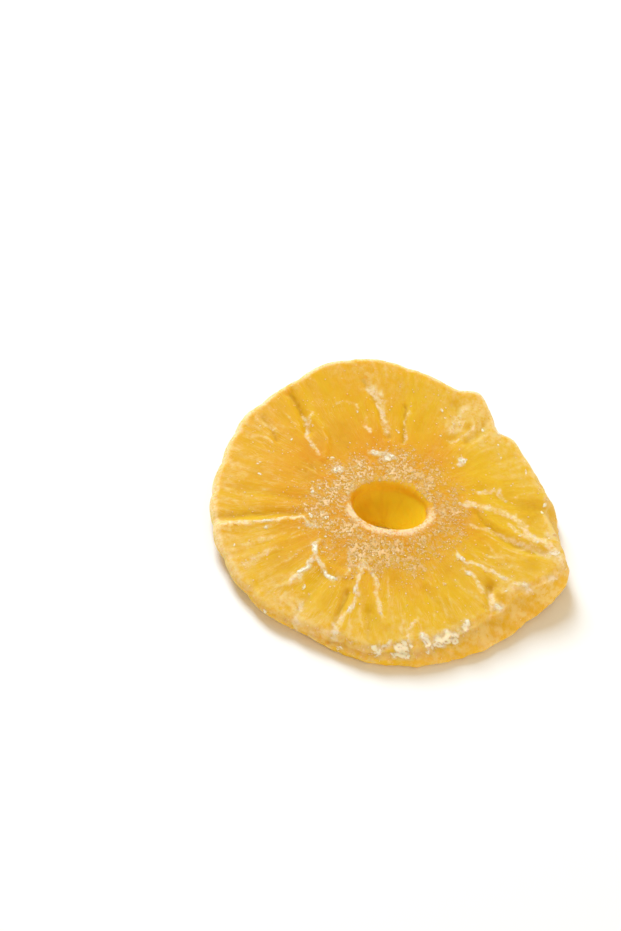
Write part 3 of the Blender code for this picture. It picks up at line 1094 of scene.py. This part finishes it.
    def _colour_fields(self) -> tuple[Array, Array]:
        """How orange, deep, dry and pale the flesh is, with painted shade along the creases and at the
        back left of the face, and painted light on the cut side.
        """
        broad = self.noise(42, 7.5 * MM)
        fan = ramp(turned(self.turn, 181.0), 0.80, 0.97) * ramp(self.share, 0.42, 0.6)
        fibres = self.fibres(41, 0.7 * MM, 14.0 * MM)
        # Painted shade: the grooves of the narrower creases take a deeper colour and stay less pale.
        groove = np.zeros(self.distance.shape)
        for crease in CREASES:
            away, _ = along_path(self.warped, crease.start, crease.end, crease.bend)
            depth = np.clip(1.6 - crease.width / MM, 0.0, 0.6) * np.sign(max(crease.depth, 0.0))
            groove = np.maximum(groove, 1.3 * depth * np.exp(-((away / (0.45 * crease.width)) ** 2)))
        orange = 1.0 - 0.95 * ramp(self.share, 0.25, 0.85) + 0.25 * broad + 0.2 * fibres
        orange = orange + 0.25 * turned(self.turn, 165.0) * ramp(self.share, 0.3, 0.6)
        orange = self.upper * orange * (1.0 - 0.8 * self.rim) + self.outer * (0.15 + 0.3 * broad)
        orange = orange + 0.6 * self.weight(Zone.BASE) + 1.1 * self.weight(Zone.HOLE)
        pale = 0.02 + 0.30 * ramp(self.share, 0.6, 1.0) + 0.14 * broad
        pale = pale + 0.08 * ramp(turned(self.turn, 215.0), 0.3, 1.0) * ramp(self.share, 0.4, 0.8)
        # Painted shade: less pale towards the back left of the face, which the window light falls on most.
        pale = pale - 0.16 * ramp(turned(self.turn, 150.0), 0.5, 1.0) * (1.0 - ramp(self.share, 0.85, 1.0))
        notch = np.hypot(*(self.plan - place(31.0 * MM, np.radians(55.0))[:, None, None])) / (7.0 * MM)
        pale = pale + 0.35 * np.exp(-(notch**2))
        pale = pale + (0.20 + 0.18 * fan) * fibres * ramp(self.share, 0.35, 0.6)
        pale = pale * (1.0 - self.pool) * (1.0 - 0.6 * groove) + 0.8 * self.vein + 0.3 * self.rim
        # The cut side's paleness is partly its own dried colour and partly painted light, most at the right
        # front.
        outer = 0.25 + 0.35 * self.noise(43, 1.4 * MM) + 0.2 * turned(self.turn, -20.0)
        outer = outer + 0.35 * self.edge
        outer = outer + 0.3 * self.rim
        pale = self.upper * (pale + 0.25 * self.edge) + self.outer * outer + 0.3 * self.weight(Zone.BASE)
        # Deep colour: the pools' own, painted shade in the grooves, and a random tone.
        deep = 0.6 * self.pool + groove + 0.1 * ramp(self.noise(44, 2.1 * MM), 0.1, 0.9)
        deep = self.upper * deep * (1.0 - self.vein)
        return np.clip(orange, 0.0, 1.0), np.clip(deep, 0.0, 1.0), np.clip(pale, 0.0, 1.0)

    def _streaks(self) -> Array:
        """Streaks down the wall of the hole where the painted glow is weaker, most at its left and front."""
        turns = (self.turn / (2.0 * np.pi)) % 1.0
        fine = Lattice(61, 40, 16).at(turns * 40.0, self.smooth[..., 2] / (2.5 * MM))
        return np.clip(0.3 + 0.5 * fine + 0.6 * turned(self.turn, 165.0), 0.0, 1.0)

    def _relief(self) -> Array:
        """Height of the fine relief over the smooth form."""
        fibres = self.fibres(41, 0.7 * MM, 14.0 * MM)
        lumps = self.noise(53, 4.6 * MM) + 0.45 * self.noise(54, 1.9 * MM)
        cleft = (1.0 - self.form.scallop(self.turn)) ** 4
        face = self.fibre_rise * fibres * ramp(self.share, 0.35, 0.75) + self.lump_rise * lumps
        face = face - self.cleft_depth * cleft * ramp(self.share, 0.6, 1.0)
        face = face + self.vein_rise * self.vein
        face = face + self.wrinkle_rise * (self.noise(55, 0.8 * MM) + self.fibres(59, 0.9 * MM, 3.0 * MM))
        face = face + self.edge * self.lump_rise * (self.noise(62, 1.2 * MM) + 0.5)
        side = 1.8 * self.noise(56, 3.4 * MM) + 1.0 * self.noise(57, 1.5 * MM) + 0.5 * self.noise(63, 0.7 * MM)
        side = self.lump_rise * side - self.cleft_depth * cleft
        base = -0.5 * self.lump_rise * (1.0 + self.fibres(58, 2.0 * MM, 12.0 * MM))
        relief = self.upper * face + self.outer * side
        heel = self.heel_rise * (1.0 - ramp(self.smooth[..., 2], 0.5 * MM, 4.0 * MM))
        relief = relief + self.weight(Zone.HOLE) * (0.5 * self.lump_rise * lumps + heel)
        return relief + self.weight(Zone.BASE) * base

    def quads(self) -> Array:
        """Point numbers of the faces that join the grid into a closed ring."""
        sections, rows = self.distance.shape
        number = np.arange(sections * rows).reshape(sections, rows)
        after, beside = np.roll(number, -1, 0), np.roll(number, -1, 1)
        return np.stack([number, beside, np.roll(after, -1, 1), after], -1).reshape(-1, 4)


@dataclass
class FleshRing:
    """The slice's flesh: the smooth form with fibres, veins, lumps and clefts on it."""

    surface: Surface

    def build(self) -> bpy.types.Object:
        """Make the flesh piece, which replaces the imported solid."""
        surface = self.surface
        material = CandiedFlesh().build(surface.hole)
        points = surface.points.reshape(-1, 3)
        piece = new_piece("ring_flesh", points, surface.quads(), material)
        mesh = piece.data
        cream = surface.crust + 0.75 * surface.rim + 1.1 * surface.lip + 0.8 * surface.vein
        fields = {
            "orange": surface.orange,
            "clear": surface.clear,
            "deep": surface.deep,
            "pale": surface.pale,
            "dust": surface.dust,
            "crust": np.clip(cream, 0.0, 1.0),
            "fibrous": surface.fibrous,
        }
        for name, values in fields.items():
            paint(mesh, name, values)
        self._unwrap(mesh)
        mesh.shade_smooth()
        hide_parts(NODE)
        return piece

    def _unwrap(self, mesh: bpy.types.Mesh) -> None:
        """Lay the closed loop of sections out flat as one square, for finishes that are baked.

        Args:
            mesh: The flesh's mesh, whose faces are in the order of sections and rows.
        """
        smooth = self.surface.smooth
        step = np.linalg.norm(np.roll(smooth, -1, 1) - smooth, axis=-1).mean(0)
        down = np.concatenate([[0.0], np.cumsum(step)]) / step.sum()
        along = np.linspace(0.0, 1.0, smooth.shape[0] + 1)
        u0, v0 = np.meshgrid(along[:-1], down[:-1], indexing="ij")
        u1, v1 = np.meshgrid(along[1:], down[1:], indexing="ij")
        corners = np.stack([u0, v0, u0, v1, u1, v1, u1, v0], -1)
        layer = mesh.uv_layers.new(name="OFBake")
        layer.data.foreach_set("uv", (0.004 + 0.992 * corners).ravel().astype(np.float32))


@dataclass
class SugarCoat:
    """A crust of sugar that stands on the flesh wherever its field is high enough.

    It is a skin that runs hidden below the surface and rises through it in ragged islands.
    """

    surface: Surface
    name: str
    field: Array
    rise: float
    grain: float
    sugar: Sugar
    ragged: float = 0.45
    hidden: float = 0.10 * MM
    seed: int = 70

    def build(self) -> bpy.types.Object:
        """Make the coat from the parts of the skin that come up through the flesh."""
        surface = self.surface
        rough = surface.noise(self.seed, self.grain) + 0.6 * surface.noise(self.seed + 1, 0.45 * self.grain)
        stand = self.field * (1.0 - self.ragged + self.ragged * rough)
        height = self.rise * np.clip(stand, 0.0, None) ** 0.8 - self.hidden
        points = above_table(surface.points + surface.normal * height[..., None]).reshape(-1, 3)
        quads = surface.quads()
        quads = quads[(height.ravel()[quads] > 0.0).any(1)]
        used, numbers = np.unique(quads, return_inverse=True)
        faces = numbers.reshape(quads.shape)
        piece = new_piece(self.name, points[used], faces, self.sugar.build())
        paint(piece.data, "white", ramp(self.field, 0.25, 0.9).ravel()[used])
        piece.data.shade_smooth()
        return piece


@dataclass
class SugarGrains:
    """Loose sugar: single crystals that stick to the flesh, thickest where the dust is."""

    surface: Surface
    count: int = 2200
    size: tuple[float, float] = (0.14 * MM, 0.46 * MM)
    seed: int = 3

    def _spots(self, rng: np.random.Generator) -> tuple[Array, Array]:
        """Choose grid places for the grains, more where there is more sugar.

        Args:
            rng: Source of random numbers.

        Returns:
            Section and row numbers, one of each for each grain.
        """
        surface = self.surface
        width = np.linalg.norm(np.roll(surface.smooth, -1, 0) - surface.smooth, axis=-1)
        shown = 1.0 - surface.weight(Zone.BASE, Zone.HOLE, Zone.FOOT)
        sugar = 0.003 + 0.6 * surface.dust**2.0 + 0.5 * surface.crust
        amount = sugar * width * shown
        chosen = rng.choice(amount.size, self.count, p=(amount / amount.sum()).ravel())
        return np.unravel_index(chosen, amount.shape)

    def build(self) -> bpy.types.Object:
        """Make the grains as one joined mesh of small, uneven blocks."""
        rng = np.random.default_rng(self.seed)
        section, row = self._spots(rng)
        surface = self.surface
        low, high = self.size
        size = low + (high - low) * rng.beta(1.3, 3.5, self.count)
        centre = surface.points[section, row] + rng.normal(0.0, 0.05 * MM, (self.count, 3))
        centre = centre - surface.normal[section, row] * (0.1 * size)[:, None]
        cube = np.array([[x, y, z] for x in (-0.5, 0.5) for y in (-0.5, 0.5) for z in (-0.5, 0.5)])
        sides = np.array([[0, 1, 3, 2], [4, 6, 7, 5], [0, 4, 5, 1], [2, 3, 7, 6], [0, 2, 6, 4], [1, 5, 7, 3]])
        frames = np.linalg.qr(rng.normal(size=(self.count, 3, 3)))[0]
        frames *= np.sign(np.linalg.det(frames))[:, None, None]
        stretch = rng.uniform(0.6, 1.2, (self.count, 1, 3)) * size[:, None, None]
        block = np.einsum("ncj,nij->nci", cube[None] * stretch, frames)
        outward = surface.normal[section, row][:, None]
        block = block - 0.5 * (block * outward).sum(-1, keepdims=True) * outward
        corners = above_table(block + centre[:, None])
        faces = sides[None] + 8 * np.arange(self.count)[:, None, None]
        material = Sugar("sugar_crystals", "#F2C480", "#FFE2A8", 0.4).build()
        piece = new_piece("sugar_grains", corners.reshape(-1, 3), faces.reshape(-1, 4), material)
        paint(piece.data, "white", np.repeat(rng.beta(1.0, 2.5, self.count), 8))
        return piece


@dataclass
class Studio:
    """A plain pale sweep, a soft window of light from the back left, and the camera."""

    target: Array
    elevation: float = 50.0
    roll: float = 13.4
    reach: float = 0.4675
    lens: float = 85.0
    aside: tuple[float, float] = (-17.0 * MM, 8.4 * MM)

    def camera(self) -> bpy.types.Object:
        """Look down on the ring from the front, rolled so that its long way falls to the right."""
        tilt, roll = np.radians(self.elevation), np.radians(self.roll)
        view = Vector((0.0, np.cos(tilt), -np.sin(tilt)))
        level, rise = Vector((1.0, 0.0, 0.0)), Vector((0.0, np.sin(tilt), np.cos(tilt)))
        right = level * np.cos(roll) + rise * np.sin(roll)
        upward = rise * np.cos(roll) - level * np.sin(roll)
        target = Vector(self.target)
        eye = target - view * self.reach
        ahead = (target + right * self.aside[0] + upward * self.aside[1] - eye).normalized()
        right = ahead.cross(upward).normalized()
        turn = Matrix((right, right.cross(ahead), -ahead)).transposed().to_4x4()
        data = bpy.data.cameras.new("camera")
        data.lens = self.lens
        camera = bpy.data.objects.new("camera", data)
        camera.matrix_world = Matrix.Translation(eye) @ turn
        bpy.context.scene.collection.objects.link(camera)
        bpy.context.scene.camera = camera
        return camera

    def light(self, name: str, place_: Sequence[float], size: float, power: float, tint: str) -> None:
        """Add a square soft light that faces the ring.

        Args:
            name: Name of the light.
            place_: Where it hangs.
            size: Length of its side.
            power: Its power in watts.
            tint: Hex code of its colour.
        """
        data = bpy.data.lights.new(name, "AREA")
        data.size, data.energy = size, power
        data.color = linear_colour(tint)[:3]
        lamp = bpy.data.objects.new(name, data)
        lamp.location = place_
        lamp.rotation_euler = (Vector(self.target) - Vector(place_)).to_track_quat("-Z", "Y").to_euler()
        bpy.context.scene.collection.objects.link(lamp)

    def floor(self) -> None:
        """Lay a wide white paper sweep under the ring."""
        material, tree, surface = new_material("white_paper")
        surface.inputs["Base Color"].default_value = linear_colour("#FDFDFD")
        surface.inputs["Roughness"].default_value = 0.9
        half = 2.5
        points = [(-half, -half, 0.0), (half, -half, 0.0), (half, half, 0.0), (-half, half, 0.0)]
        mesh = bpy.data.meshes.new("paper_floor")
        mesh.from_pydata(points, [], [(0, 1, 2, 3)])
        mesh.materials.append(material)
        floor = bpy.data.objects.new("paper_floor", mesh)
        bpy.context.scene.collection.objects.link(floor)

    def build(self) -> None:
        """Set the whole studio up."""
        scene = bpy.context.scene
        scene.view_settings.view_transform = "Standard"
        world = bpy.data.worlds.new("white_room")
        world.use_nodes = True
        around = world.node_tree.nodes["Background"].inputs
        around["Color"].default_value = linear_colour("#FFEBC9")
        around["Strength"].default_value = 0.60
        scene.world = world
        self.floor()
        self.light("window", (-0.428, 0.548, 0.719), 0.44, 10.5, "#DAEDFF")
        self.light("fill", (0.70, -0.62, 0.14), 0.4, 3.6, "#FFF6E6")
        self.camera()


def main() -> None:
    """Build the ring and its studio, and report each piece."""
    logging.basicConfig(level=logging.INFO, format="%(name)s: %(message)s")
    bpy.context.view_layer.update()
    form = RingForm()
    surface = Surface(form, Steps())
    fine = Surface(form, Steps(1100, 6, 8, 170, 10, 26, 2, 2))
    FleshRing(surface).build()
    crust = np.clip(fine.crust + 0.2 * fine.rim + 0.4 * fine.lip + 0.3 * fine.edge, 0.0, 1.0)
    white = Sugar("sugar_crust", "#F4CE92", "#FFF0D0")
    SugarCoat(fine, "sugar_crust", crust, 0.26 * MM, 0.35 * MM, white).build()
    frost = fine.dust * fine.upper
    peach = Sugar("sugar_frost", "#E3A952", "#ECBB6C")
    SugarCoat(fine, "sugar_frost", frost, 0.09 * MM, 0.42 * MM, peach, 0.5, 0.04 * MM).build()
    SugarGrains(surface).build()
    Studio(surface.hole + np.array([0.0, 0.0, form.hole_thickness])).build()


if __name__ == "__main__":
    main()
